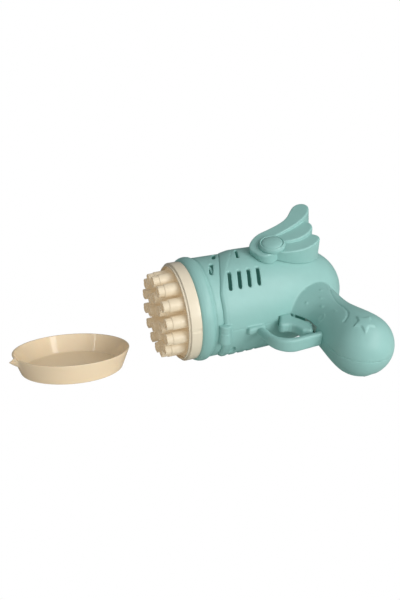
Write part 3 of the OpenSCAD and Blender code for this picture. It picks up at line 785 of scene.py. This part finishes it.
TEAL = srgb(138, 178, 173)
CREAM = srgb(220, 203, 175)
RING_CREAM = srgb(224, 213, 190)
# The glows given to the teal, cream and head plastics below are painted light that brightens their
# shaded parts.
teal = surface("teal_abs", TEAL, 0.38, 0.035, painted_glow=(0.014, 0.046, 0.039))
cream = surface("cream_abs", CREAM, 0.07, 0.02, 700, 0.006, painted_glow=(0.085, 0.06, 0.031), **{
    "Subsurface Weight": 0.12, "Subsurface Radius": (0.004, 0.0022, 0.001), "Subsurface Scale": 1.0})
ring_cream = surface("ring_abs", RING_CREAM, 0.12, 0.02, 700, 0.01)
head_cream = surface("head_abs", srgb(206, 195, 172), 0.3, 0.02, 700, 0.02, painted_glow=(0.16, 0.12, 0.075))
white = surface("white_pp", srgb(232, 232, 226), 0.42, 0.02)
black = surface("black_pp", srgb(38, 38, 40), 0.45, 0.1)
steel = surface("zinc_steel", srgb(190, 192, 196), 0.3, 0.06, 1400, 0.08, 1.0)
sleeve = surface("cell_sleeve", srgb(60, 122, 88), 0.3, 0.05)
red = surface("red_pvc", srgb(196, 40, 36), 0.4, 0.05)
black_wire = surface("black_pvc", srgb(30, 30, 32), 0.4, 0.05)

CAD_MATERIALS = {
    "zinc_steel": steel, "white_plastic": white, "black_plastic": black, "cell_case": sleeve,
    "red_insulation": red, "black_insulation": black_wire, "teal_plastic": teal, "cream_plastic": cream}
for part in record["subparts"]:
    data = frame["nodes"][part["node"]].data
    data.materials.clear()
    data.materials.append(CAD_MATERIALS[part["material_slot"]])

# ---------------------------------------------------------------- shells, controls and wings
SHELL_LOW, SHELL_HIGH = (10, -124, -49), (152, 48, 49)
build("left_shell", mould("left_shell_skin", left_shell, (10, -124, -3), SHELL_HIGH, 0.8), "root",
      teal)
build("right_shell", mould("right_shell_skin", right_shell, SHELL_LOW, (152, 48, 3), 0.8), "root",
      teal)
build("battery_door", mould("battery_door_skin", battery_door, (78, -116, -28), (130, -45, 2), 0.6),
      "battery_door", teal)
build("front_collar", mould("front_collar_skin", front_collar, (-2, -47, -47), (54, 47, 47), 0.8),
      "root", teal)
build("trigger_guard", mould("trigger_guard_skin", trigger_guard, (42, -86, -8), (99, -48, 8), 0.5),
      "root", teal)
build("trigger", mould("trigger_skin", trigger, (55, -80, -8), (84, -20, 8), 0.5), "trigger",
      teal)
build("left_wing", mould("left_wing_skin", wing_field(0, 1), (52, -36, 18), (136, 44, 80), 0.6), "root",
      teal)
build("right_wing", mould("right_wing_skin", wing_field(RIGHT_WING_TURN, -1), (52, -18, -74),
                          (136, 82, 12), 0.6), "root", teal)


def cap_profile():
    """Domed cap with a raised rim, from its centre out and back under."""
    rim = CAP_R - 1.3
    dome = [(3.5 + 2.3 * math.cos(a), (rim - 0.9) * math.sin(a))
            for a in np.radians(np.linspace(0.5, 84, 16))]
    lip = [(3.3 + 1.0 * math.sin(a), rim - 0.75 * math.cos(a))
           for a in np.radians(np.linspace(0, 165, 10))]
    side = [(2.9, CAP_R - 0.25), (2.2, CAP_R), (0.3, CAP_R), (0, CAP_R - 0.3), (0, 0.05)]
    return dome + lip + side


def in_wing(turned, mirror):
    def place(points):
        flat = np.stack([points[:, 1] + CAP_CENTRE[0], points[:, 2] + CAP_CENTRE[1],
                         points[:, 0] + CAP_SEAT], 1)
        return to_row(wing_to_gun(flat, turned, mirror))
    return place


build("left_wing_cap", revolve("left_cap_skin", cap_profile()[::-1], 72, in_wing(0, 1)), "root",
      teal)
build("right_wing_cap", revolve("right_cap_skin", cap_profile(), 72, in_wing(RIGHT_WING_TURN, -1)),
      "root", teal)


# ---------------------------------------------------------------- nozzle
def ring_profile():
    f = RING_FRONT
    return soften([(f + 1.2, 39.0), (f, 39.2), (f, 40.2, 0.4), (f + 0.5, 40.45), (f + 1.6, 40.45, 0.1),
                   (f + 1.6, RING_R - 0.6, 0.1), (f + 2.1, RING_R, 0.5), (-1, RING_R, 0.2),
                   (0, RING_R, 0.2),
                   (0, 40.75, 0.1), (8, 40.6), (8, 39.0)], 0.3)


def mark(along, radius, angle):
    """Short moulding line across the ring."""
    off = np.abs(angle - math.radians(174)) * RING_R
    return along, radius - 0.3 * smooth(1.6 - off) * (radius > RING_R - 0.01) * (along > -9)


build("nozzle_ring", revolve("nozzle_ring_skin", ring_profile(), 400, place_on_barrel, mark), "root",
      ring_cream)


def tube_profile():
    """A tube with a narrower ribbed tip."""
    back = PLATE_X + 0.8
    return soften([(back, TUBE_R + 0.2), (-21.4, TUBE_R - 0.1, 0.5), (-22.0, TUBE_R - 0.75, 0.3),
                   (TIP_X + 1.7, TUBE_R - 0.9, 0), (TIP_X, TUBE_R - 1.0, 0.5), (TIP_X + 0.1, 3.3, 0.4),
                   (TIP_X + 1.7, 3.3, 0), (-14, 3.8), (back, 4.0)], 0.3)


def fluted(along, radius, angle):
    """Ribs round a tube's tip, and four notches across its end."""
    tip = smooth((-22.2 - along) / 0.6)
    end = smooth((TIP_X + 1.0 - along) / 0.6)
    notch = smooth((np.cos(4 * angle) - 0.45) / 0.35)
    rib = np.cos(12 * angle) * (radius > 3.9)
    return along + 0.25 * end * notch, radius + 0.1 * tip * rib


def nozzle_head():
    """Plate and tubes joined into one piece."""
    plate = revolve("plate", soften([(PLATE_X, 0.05), (PLATE_X, 38.9), (4, 38.9), (4, 37.4),
                                     (PLATE_X + 2, 37.4), (PLATE_X + 2, 0.05)], 0.4), 128,
                    place_on_barrel)
    tubes = [plate]
    places = [(OUTER_PITCH_R, 360 * i / OUTER_TUBES) for i in range(OUTER_TUBES)]
    places += [(INNER_PITCH_R, 360 * (i + 0.5) / INNER_TUBES) for i in range(INNER_TUBES)]
    for pitch, angle in places:
        a = math.radians(angle + TUBE_TURN)
        centre = np.array([0, pitch * math.cos(a), pitch * math.sin(a)])
        tubes.append(revolve("tube", tube_profile(), 96, lambda p: to_row(p + centre), fluted))
    with bpy.context.temp_override(active_object=plate, selected_editable_objects=tubes,
                                   selected_objects=tubes, object=plate):
        bpy.ops.object.join()
    plate.name = "bubble_head_skin"
    return plate


build("bubble_head", nozzle_head(), "root", head_cream)


# ---------------------------------------------------------------- dish
def dish_piece():
    low, high = (np.array(c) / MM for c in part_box("dish"))
    height = high[2] - low[2]
    rim, base, wall = 46.9, 40.6, 1.6
    centre = np.array([high[0] - rim, high[1] - rim, low[2]])
    spout = math.radians(200)

    def beak(along, radius, angle):
        off = np.abs((angle - spout + math.pi) % (2 * math.pi) - math.pi)
        lift = smooth((along - height + 8) / 8) * np.clip(1 - off / 0.11, 0, 1) ** 1.5
        return along - 1.4 * lift, radius + 5.6 * lift * (radius > 30)

    profile = soften([(0, 0.05), (0, base, 1.6), (height, rim, 0.7), (height, rim - wall, 0.7),
                      (wall, base - wall, 1.8), (wall, 0.05)], 0.2, 6)
    rings = []
    for i, p in enumerate(profile):
        q = profile[(i + 1) % len(profile)]
        steps = max(1, int(np.linalg.norm(np.array(q) - p) / 3))
        rings += [p + (q - p) * k / steps for k in range(steps)]

    def place(points):
        return (np.stack([points[:, 1], points[:, 2], points[:, 0]], 1) + centre) * MM

    return revolve("dish_skin", rings, 240, place, beak)


build("dish", dish_piece(), "dish", cream)


# ---------------------------------------------------------------- floor, light and camera
def floor():
    mesh = bpy.data.meshes.new("floor")
    z = cad_box[0].z
    mesh.from_pydata([(-3, -3, z), (3, -3, z), (3, 3, z), (-3, 3, z)], [], [(0, 1, 2, 3)])
    obj = bpy.data.objects.new("floor", mesh)
    bpy.context.scene.collection.objects.link(obj)
    mat = bpy.data.materials.new("pale_floor")
    mat.use_nodes = True
    tree = mat.node_tree
    tree.nodes.clear()
    out = tree.nodes.new("ShaderNodeOutputMaterial")
    bounce = node(tree, "ShaderNodeBsdfDiffuse", Color=(0.66, 0.66, 0.64, 1))
    seen = node(tree, "ShaderNodeEmission", Color=(1, 1, 1, 1), Strength=1.0)
    rays = tree.nodes.new("ShaderNodeLightPath")
    mix = tree.nodes.new("ShaderNodeMixShader")
    tree.links.new(rays.outputs["Is Camera Ray"], mix.inputs["Fac"])
    tree.links.new(bounce.outputs["BSDF"], mix.inputs[1])
    tree.links.new(seen.outputs["Emission"], mix.inputs[2])
    tree.links.new(mix.outputs["Shader"], out.inputs["Surface"])
    mesh.materials.append(mat)


def area_light(name, azimuth, height, distance, size, power, mirrored=True):
    """A softbox seen from the origin at an azimuth from the front and a height, in degrees."""
    a, h = math.radians(azimuth), math.radians(height)
    at = distance * Vector((math.sin(a) * math.cos(h), -math.cos(a) * math.cos(h), math.sin(h)))
    data = bpy.data.lights.new(name, "AREA")
    data.shape = "RECTANGLE"
    data.size, data.size_y = size
    data.energy = power
    obj = bpy.data.objects.new(name, data)
    obj.location = at
    obj.rotation_euler = (-at).to_track_quat("-Z", "Y").to_euler()
    obj.visible_glossy = mirrored
    bpy.context.scene.collection.objects.link(obj)


def world():
    """White to the camera; for lighting, brighter in front than above and behind."""
    w = bpy.data.worlds.new("studio")
    bpy.context.scene.world = w
    w.use_nodes = True
    tree = w.node_tree
    tree.nodes.clear()
    out = tree.nodes.new("ShaderNodeOutputWorld")
    seen = node(tree, "ShaderNodeBackground", Color=(1, 1, 1, 1), Strength=1.0)
    lit = node(tree, "ShaderNodeBackground", Strength=0.9)
    place = tree.nodes.new("ShaderNodeTexCoord")
    front = node(tree, "ShaderNodeVectorMath", operation="DOT_PRODUCT")
    front.inputs[1].default_value = (0.25, -0.97, 0.0)
    tree.links.new(place.outputs["Generated"], front.inputs[0])
    level = ramp(tree, front.outputs["Value"], grey(0.18), grey(1.0), 0.0, 0.95)
    tree.links.new(level, lit.inputs["Color"])
    rays = tree.nodes.new("ShaderNodeLightPath")
    mix = tree.nodes.new("ShaderNodeMixShader")
    tree.links.new(rays.outputs["Is Camera Ray"], mix.inputs["Fac"])
    tree.links.new(lit.outputs["Background"], mix.inputs[1])
    tree.links.new(seen.outputs["Background"], mix.inputs[2])
    tree.links.new(mix.outputs["Shader"], out.inputs["Surface"])


def camera():
    data = bpy.data.cameras.new("camera")
    data.lens = 29.41
    data.sensor_width = 36
    data.clip_start, data.clip_end = 0.01, 10
    cam = bpy.data.objects.new("camera", data)
    cam.location = (-0.13314, -0.38656, 0.08998)
    cam.rotation_mode = "QUATERNION"
    cam.rotation_quaternion = Vector((0.3494, 0.9165, -0.1947)).to_track_quat("-Z", "Y")
    bpy.context.scene.collection.objects.link(cam)
    bpy.context.scene.camera = cam


floor()
world()
area_light("key", 12, 8, 1.3, (0.9, 0.7), 10.9, mirrored=False)
area_light("window", 34, 33, 1.1, (0.24, 0.5), 1.6)
area_light("strip", 19, 9, 1.1, (0.06, 0.75), 1.2)
area_light("left_strip", -66, 27, 1.1, (0.03, 0.5), 0.3)
camera()
view = bpy.context.scene.view_settings
view.view_transform = "Standard"
view.look = "None"
